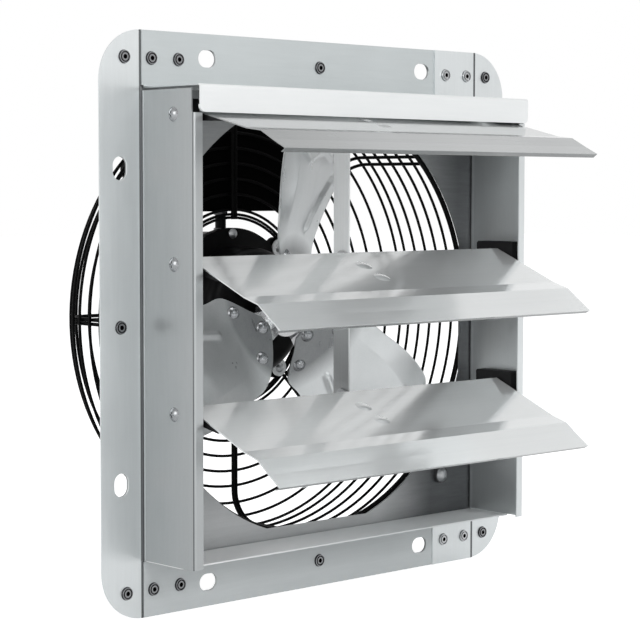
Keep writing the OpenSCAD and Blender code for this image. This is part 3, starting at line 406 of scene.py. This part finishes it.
# A slat's word, its lean at rest in degrees, how far under its hinge its face plane passes, and how much
# painted shade its face takes.
slat_rows = [("top", 13.5, 0.0, 0.66), ("middle", 23.0, 0.0005, 0.0), ("bottom", 23.5, 0.0, 0.0)]
for word, lean_degrees, drop, face_shade_share in slat_rows:
    face_line = hinge_places[word + "_slat_hinge"] - Vector((0.0, 0.0, drop))
    slat_look = sheet_finish(f"slat_{word}_sheet", dark=(0.88, 0.90, 0.90), pale=(0.94, 0.955, 0.955),
        rough=0.13, metallic=0.62, lines=(0.12, 7.0, 7.0), line_scale=60.0,
        patch=painted_slat_shade(face_line, np.radians(lean_degrees), face_shade_share), patch_dark=(0.26, 0.27, 0.27),
        patch_pale=(0.34, 0.35, 0.35))
    dress([f"slat_{word}", f"slat_{word}_rivets"], slat_look)


# Slat brackets: small zinc plated steel brackets, one riveted under the
# middle of each slat, where the tie bar takes hold of it.
zinc_look = sheet_finish("zinc_plate", dark=(0.42, 0.43, 0.44), pale=(0.60, 0.61, 0.62), rough=0.36,
    metallic=0.85, lines=(3.0, 3.0, 3.0), line_scale=160.0)
dress(["slat_top_bracket", "slat_middle_bracket", "slat_bottom_bracket"], zinc_look)


# Tie bar: a flat aluminium strip behind the slats that joins their brackets, with lines that run up it. Shade
# from the slats is painted over its lower part.
bar_shade_height, bar_shade_blur = -0.02, 0.05
bar_look = sheet_finish("tie_bar_sheet", dark=(0.84, 0.86, 0.86), pale=(0.93, 0.95, 0.95), rough=0.35,
    metallic=0.6, lines=(7.0, 7.0, 0.2), patch=past("Z", bar_shade_height, bar_shade_blur),
    patch_dark=(0.36, 0.37, 0.37), patch_pale=(0.46, 0.47, 0.47))
dress(["tie_bar"], bar_look)


# Bearing blocks and pivots: black moulded plastic with a fine, even grain.
# The blocks sit on the side walls, and the slats' pivots turn in them.
def black_finish(name, colour, rough, grain_scale, grain, shine=0.08):
    """Moulding or paint in one colour: a fine grain, whose height is in millimetres, in the bump, and a slow
    change of gloss. Shine is how much it mirrors."""
    made = bpy.data.materials.new(name)
    of = start(made)
    cloud = object_noise(of, 14.0, 3.0, 0.5)
    skin = object_noise(of, grain_scale, 3.0, 0.6)
    pale = tuple(1.5 * c + 0.001 for c in colour)
    tone = ramped(cloud * 0.6 + skin * 0.4, [(0.35, colour), (0.7, pale)])
    bump = of.node("ShaderNodeBump", Strength=0.5, Distance=grain * 0.001, Height=skin)
    body = of.node("ShaderNodeBsdfPrincipled", Base_Color=tone, Specular_IOR_Level=shine,
        Roughness=(cloud - 0.5) * 0.2 + (skin - 0.5) * 0.1 + rough, Normal=bump)
    end(of, body)
    return made


plastic_look = black_finish("black_plastic", (0.008, 0.008, 0.0085), rough=0.5, grain_scale=1400.0,
    grain=0.05, shine=0.2)
dress(["slat_bearings", "slat_top_pivots", "slat_middle_pivots", "slat_bottom_pivots"], plastic_look)


# Guard: drawn steel wire, welded at its crossings and dipped in black paint.
# Paired spokes join its rings and loop round the four guard bolts.
wire_look = black_finish("wire_paint", (0.0015, 0.0015, 0.0016), rough=0.42, grain_scale=700.0,
    grain=0.04, shine=0.06)
dress(["guard_side_rings", "guard_rear_rings", "guard_spokes"], wire_look)


# Fasteners of the guard, the hub, the motor and the box: zinc plated steel,
# with darker spacers, set screw and lock nuts, and wide pale washers where
# the motor is mounted.
dull_look = sheet_finish("dull_steel", dark=(0.10, 0.10, 0.105), pale=(0.18, 0.18, 0.185), rough=0.42,
    metallic=0.7, lines=(4.0, 4.0, 4.0), line_scale=200.0)
dress(["guard_spacers", "hub_set_screw", "conduit_nuts"], dull_look)
dress(["guard_bolts", "guard_washers", "guard_nuts", "lid_screws", "motor_shell_bolts",
    "motor_mount_bolts", "motor_mount_nuts"], zinc_look)
washer_look = sheet_finish("washer_steel", dark=(0.74, 0.75, 0.75), pale=(0.84, 0.85, 0.85), rough=0.3,
    metallic=0.5, lines=(3.0, 3.0, 3.0), line_scale=160.0)
dress(["motor_mount_washers"], washer_look)


# Motor: drawn steel shells in semi-gloss black paint, with the threaded neck
# of the box. Inside are a laminated core with copper windings and a ground
# shaft in two bearings, which carries the hub and its spider.
shell_look = black_finish("shell_paint", (0.002, 0.002, 0.0022), rough=0.36, grain_scale=420.0,
    grain=0.06, shine=0.1)
dress(["motor_front_shell", "motor_rear_shell", "conduit_nipple"], shell_look)
core_look = sheet_finish("core_steel", dark=(0.16, 0.16, 0.17), pale=(0.26, 0.26, 0.27), rough=0.45,
    metallic=0.8, lines=(1.0, 40.0, 1.0), line_scale=90.0)
dress(["stator_core", "rotor_core"], core_look)
copper_look = sheet_finish("copper_wire", dark=(0.42, 0.16, 0.06), pale=(0.62, 0.28, 0.12), rough=0.3,
    metallic=0.9, lines=(8.0, 8.0, 8.0), line_scale=120.0)
dress(["stator_windings"], copper_look)
ground_look = sheet_finish("ground_steel", dark=(0.50, 0.50, 0.51), pale=(0.64, 0.64, 0.65), rough=0.25,
    metallic=0.95, lines=(1.0, 30.0, 1.0), line_scale=200.0)
dress(["motor_shaft", "motor_bearings", "hub_boss", "hub_spider"], ground_look)


# Junction box: a black moulded box with its lid at the back. Inside it are
# the run capacitor and the terminal block, of pale plastic.
box_look = black_finish("box_plastic", (0.0008, 0.0008, 0.0009), rough=0.5, grain_scale=900.0,
    grain=0.08, shine=0.015)
dress(["junction_box", "junction_lid"], box_look)
cream_look = black_finish("pale_plastic", (0.42, 0.41, 0.37), rough=0.4, grain_scale=500.0, grain=0.03)
dress(["run_capacitor", "terminal_block"], cream_look)


# Blades: three pressings of bright aluminium, pitched and set forward of
# their flat roots, with a stiffening fold behind the front edge and two
# pressed ribs. Each is held to an arm of the spider by dome rivets.
tip_radius, hub_plane, pitch, gauge = 0.147, 0.0353, np.radians(28.0), 0.0012
root_reach, rise_length = 0.05, tip_radius / 3
forward_set, belly_height, fold_depth = 0.005, 0.0009, 0.006
belly_share, fold_share, rim_rise = 0.4, 0.8, 14.0
# The points of the edges and ribs, and each rib's width, are shares of the tip radius. Its height is not.
rear_edge = np.array([(0.15, -0.05), (0.2, -0.11), (0.27, -0.2), (0.32, -0.235), (0.42, -0.24),
    (0.56, -0.28), (0.67, -0.36), (0.76, -0.48), (0.84, -0.57)])
front_edge = np.array([(0.135, 0.01), (0.17, 0.08), (0.26, 0.2), (0.37, 0.28), (0.52, 0.305),
    (0.66, 0.325), (0.79, 0.325), (0.88, 0.305), (0.935, 0.245)])
rear_rib = np.array([(0.45, -0.07), (0.54, -0.105), (0.63, -0.17), (0.71, -0.26), (0.77, -0.37)])
tip_rib = np.array([(0.83, 0.18), (0.785, 0.09), (0.85, -0.04), (0.872, -0.15), (0.85, -0.26)])
ribs = [(rear_rib, 0.016, 0.003), (tip_rib, 0.015, 0.0018)]


def eased(t):
    """A step from 0 to 1 that leaves and arrives level: 3 t squared less 2 t cubed."""
    t = np.clip(t, 0.0, 1.0)
    return t * t * (3.0 - 2.0 * t)


def edge_at(table, u):
    """Points of a smooth edge through the table's rows: a cubic on each stretch whose slope at a row is
    half the step between its two neighbours."""
    padded = np.vstack([2 * table[0] - table[1], table, 2 * table[-1] - table[-2]])
    t = u * (len(table) - 1)
    k = np.clip(np.floor(t).astype(int), 0, len(table) - 2)
    f = (t - k)[..., None]
    p0, p1, p2, p3 = (padded[k + i] for i in range(4))
    return p1 + 0.5 * f * (p2 - p0 + f * (2 * p0 - 5 * p1 + 4 * p2 - p3 + f * (3 * (p1 - p2) + p3 - p0)))


def off_line(x, z, line):
    """Least distance from each point (x, z) to a chain of straight stretches."""
    least = np.full(x.shape, np.inf)
    for a, b in zip(line[:-1], line[1:]):
        step = b - a
        t = np.clip(((x - a[0]) * step[0] + (z - a[1]) * step[1]) / (step @ step), 0.0, 1.0)
        least = np.minimum(least, np.hypot(x - a[0] - t * step[0], z - a[1] - t * step[1]))
    return least


def blade_surface(u, v):
    """The blade's middle surface in its arm's frame. u runs out along the arm and v from the rear edge to the
    front one: the place is rear + v (front - rear), pushed out to the tip circle as u squared. It stands
    forward of the root plane by an eased step, a half wave along the chord, less the fold past its crease,
    plus a ridge of height h exp(-(d / w) squared) at distance d from each rib's line."""
    rear = edge_at(rear_edge, u) * tip_radius
    front = edge_at(front_edge, u) * tip_radius
    place = rear + v[..., None] * (front - rear)
    x, z = place[..., 0], place[..., 1]
    last = (rear_edge[-1] + v[..., None] * (front_edge[-1] - rear_edge[-1])) * tip_radius
    tip_gap = np.sqrt(tip_radius**2 - (last[..., 1] * np.cos(pitch)) ** 2) - last[..., 0]
    x = x + tip_gap * u**2
    out = eased((x - root_reach) / rise_length)
    wave = np.sin(np.pi * np.clip((v - belly_share) / (fold_share - belly_share), 0.0, 1.0))
    fold = np.clip(v - fold_share, 0.0, None) / (1.0 - fold_share)
    raised = sum(high * np.exp(-(off_line(x, z, line * tip_radius) / (wide * tip_radius)) ** 2)
        for line, wide, high in ribs)
    inner = np.clip(np.minimum(np.minimum(u, 1 - u), np.minimum(v, 1 - v)) * rim_rise, 0.0, 1.0)
    y = -out * (forward_set + belly_height * wave - fold_depth * fold) - raised * inner
    return np.stack([x, y, z], axis=-1)


def sheet_mesh(name, middle, thick):
    """A closed sheet about a grid of middle points: two copies set apart by half its thickness along the
    surface's normals, joined by a rim of quads."""
    du, dv = np.gradient(middle, axis=0), np.gradient(middle, axis=1)
    normal = np.cross(du, dv)
    normal /= np.linalg.norm(normal, axis=-1, keepdims=True)
    rows, cols = middle.shape[:2]
    above_points = (middle + normal * thick / 2).reshape(-1, 3)
    below_points = (middle - normal * thick / 2).reshape(-1, 3)
    points = np.concatenate([above_points, below_points])
    at = np.arange(rows * cols).reshape(rows, cols)
    face = np.stack([at[:-1, :-1], at[1:, :-1], at[1:, 1:], at[:-1, 1:]], axis=-1).reshape(-1, 4)
    rim = np.concatenate([at[0, :], at[1:, -1], at[-1, -2::-1], at[-2::-1, 0]])
    next_rim = np.roll(rim, -1)
    band = np.stack([rim, next_rim, next_rim + rows * cols, rim + rows * cols], axis=-1)[:-1]
    faces = np.concatenate([face, face[:, ::-1] + rows * cols, band[:, ::-1]])
    mesh = bpy.data.meshes.new(name)
    mesh.from_pydata(points.tolist(), [], faces.tolist())
    smooth = np.ones(len(faces), bool)
    smooth[2 * len(face):] = False
    mesh.polygons.foreach_set("use_smooth", smooth)
    mesh.validate()
    mesh.update()
    return mesh


def add_piece(mesh, material, body, replaced):
    """Links a mesh as a piece that rides on a body and stands for CAD nodes."""
    mesh.materials.append(material)
    made = bpy.data.objects.new(mesh.name, mesh)
    scene.collection.objects.link(made)
    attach(made, body)
    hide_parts(*replaced)


axle_reach, axle_blur = 0.064, 0.016
left_blade_end, top_blade_foot, blade_blur = -0.03, 0.05, 0.04
left_blade_shade, top_blade_shade = 0.78, 0.3


def painted_blade_shade(of):
    """Painted shade round the fan's axle, and weaker over the left and top blades, which are turned away from
    the light."""
    across, up = along(of, "X"), along(of, "Z")
    squared = across * across + up * up
    out = squared.node("ShaderNodeMath", settings={"operation": "SQRT"}, _0=squared)
    ring = clamped((axle_reach - out) / axle_blur)
    top = (1.0 - past("Z", top_blade_foot, blade_blur)(of)) * top_blade_shade
    left = past("X", left_blade_end, blade_blur)(of) * left_blade_shade
    return larger(ring, left + top)


# The blades' patch is painted shade round the axle and over the left and top blades.
blade_look = sheet_finish("blade_sheet", dark=(0.79, 0.82, 0.82), pale=(0.91, 0.93, 0.935), rough=0.3,
    metallic=0.55, lines=(1.0, 1.0, 0.4), line_scale=60.0, dent=0.0, patch=painted_blade_shade,
    patch_dark=(0.22, 0.23, 0.235), patch_pale=(0.36, 0.37, 0.375))
first_arm, arm_step = 80.0, 120.0
along_count, across_count = 121, 101
out_shares, chord_shares = np.linspace(0, 1, along_count), np.linspace(0, 1, across_count)
flat_blade = blade_surface(*np.meshgrid(out_shares, chord_shares, indexing="ij"))
for number in range(3):
    arm = np.radians(first_arm + arm_step * number)
    x, y, z = np.moveaxis(flat_blade, -1, 0)
    y, z = y * np.cos(pitch) - z * np.sin(pitch), y * np.sin(pitch) + z * np.cos(pitch)
    placed = np.stack([x * np.cos(arm) - z * np.sin(arm), y + hub_plane,
        x * np.sin(arm) + z * np.cos(arm)], axis=-1)
    add_piece(sheet_mesh(f"pressed_blade_{number + 1}", placed, gauge), blade_look, "fan",
        [f"blade_{number + 1}"])

dome_look = sheet_finish("dome_rivet", dark=(0.26, 0.27, 0.28), pale=(0.40, 0.41, 0.42), rough=0.24,
    metallic=1.0, lines=(4.0, 4.0, 4.0), line_scale=300.0)
dress(["blade_rivets"], dome_look)


# Guard's front ring: the thick wire lies inside the spokes, where it shows as
# a black band along the right and lower edge of the opening.
ring_radius, wire_radius, ring_plane = 0.1601, 0.002, 0.0056
ring_steps, wire_steps = 192, 16


def ring_surface(t, w):
    """The ring's skin about the fan's axle. At turn t and wire angle w it stands R + r cos w out from the
    axle and r sin w behind the ring's plane, for a ring of radius R whose wire has radius r."""
    out = ring_radius + wire_radius * np.cos(w)
    return np.stack([out * np.cos(t), ring_plane + wire_radius * np.sin(w), out * np.sin(t)], axis=-1)


def closed_mesh(name, points):
    """A smooth closed tube over a grid of points that meets itself both ways."""
    at = np.arange(points[..., 0].size).reshape(points.shape[:2])
    onward, upward = np.roll(at, -1, axis=0), np.roll(at, -1, axis=1)
    faces = np.stack([at, upward, np.roll(onward, -1, axis=1), onward], axis=-1).reshape(-1, 4)
    mesh = bpy.data.meshes.new(name)
    mesh.from_pydata(points.reshape(-1, 3).tolist(), [], faces.tolist())
    mesh.polygons.foreach_set("use_smooth", np.ones(len(faces), bool))
    mesh.update()
    return mesh


turns = np.linspace(0, 2 * np.pi, ring_steps + 1)[:-1]
wire_turns = np.linspace(0, 2 * np.pi, wire_steps + 1)[:-1]
ring_points = ring_surface(*np.meshgrid(turns, wire_turns, indexing="ij"))
ring_mesh = closed_mesh("guard_thick_ring", ring_points)
add_piece(ring_mesh, wire_look, "frame", ["guard_front_ring"])
